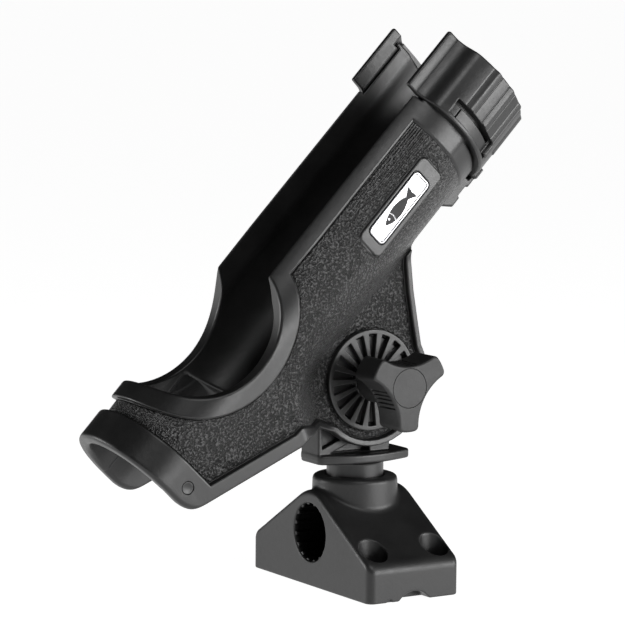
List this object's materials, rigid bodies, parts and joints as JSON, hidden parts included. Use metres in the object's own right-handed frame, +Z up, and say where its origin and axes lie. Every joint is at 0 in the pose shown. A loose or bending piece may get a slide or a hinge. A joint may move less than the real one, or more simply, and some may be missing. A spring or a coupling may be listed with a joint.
{
  "type": "rod holder",
  "caption": "Fishing rod holder: a tilting cradle with a rotating locking ring, held by a toothed clamp knob on a splined post in a wedge-shaped screw-down base.",
  "frame": {"origin": "centre of the base's flat underside, on the upright post socket's axis", "axes": "+Z up along the post's axis; +X is the side that the barrel rises towards; -Y is the clamp knob's side"},
  "size_m": [0.2279, 0.1046, 0.2642],
  "materials": {
    "black_nylon": "satin black glass-filled nylon with a pebble-grained panel texture",
    "stainless_steel": "brushed stainless",
    "brass": "machined brass",
    "badge_silver": "brushed silver foil, blank"
  },
  "bodies": {
    "base": {"base_mount": "black_nylon"},
    "post": {"post_arm": "black_nylon", "pivot_bush": "stainless_steel"},
    "cradle": {"cradle_body": "black_nylon", "ratchet_disc_near": "black_nylon", "ratchet_disc_far": "black_nylon", "badge_near": "badge_silver", "badge_far": "badge_silver", "end_plug_near": "black_nylon", "end_plug_far": "black_nylon", "clamp_bolt": "stainless_steel", "bolt_washer": "stainless_steel"},
    "washer": {"knob_washer": "stainless_steel"},
    "knob": {"clamp_knob": "black_nylon", "knob_insert": "brass", "knob_cap": "black_nylon"},
    "ring": {"locking_ring": "black_nylon"}
  },
  "joints": [
    {"name": "post_swivel", "type": "hinge", "parent": "base", "child": "post", "pos_m": [0, 0, 0.03], "axis": [0, 0, 1], "continuous": true},
    {"name": "cradle_tilt", "type": "hinge", "parent": "post", "child": "cradle", "pos_m": [0, 0, 0.0987], "axis": [0, 1, 0], "range_deg": [-30, 45]},
    {"name": "ring_turn", "type": "hinge", "parent": "cradle", "child": "ring", "pos_m": [0.04475, 0, 0.22925], "axis": [-0.6947, 0, -0.7193], "range_deg": [0, 90]},
    {"name": "knob_back_off", "type": "slide", "parent": "cradle", "child": "washer", "axis": [0, -1, 0], "range_m": [0, 0.0025]},
    {"name": "knob_turn", "type": "hinge", "parent": "washer", "child": "knob", "pos_m": [0, 0, 0.0987], "axis": [0, -1, 0], "range_deg": [0, 720]}
  ],
  "couplings": [
    {"joint": "knob_back_off", "follows": "knob_turn", "m_per_rad": 0.00019894}
  ]
}
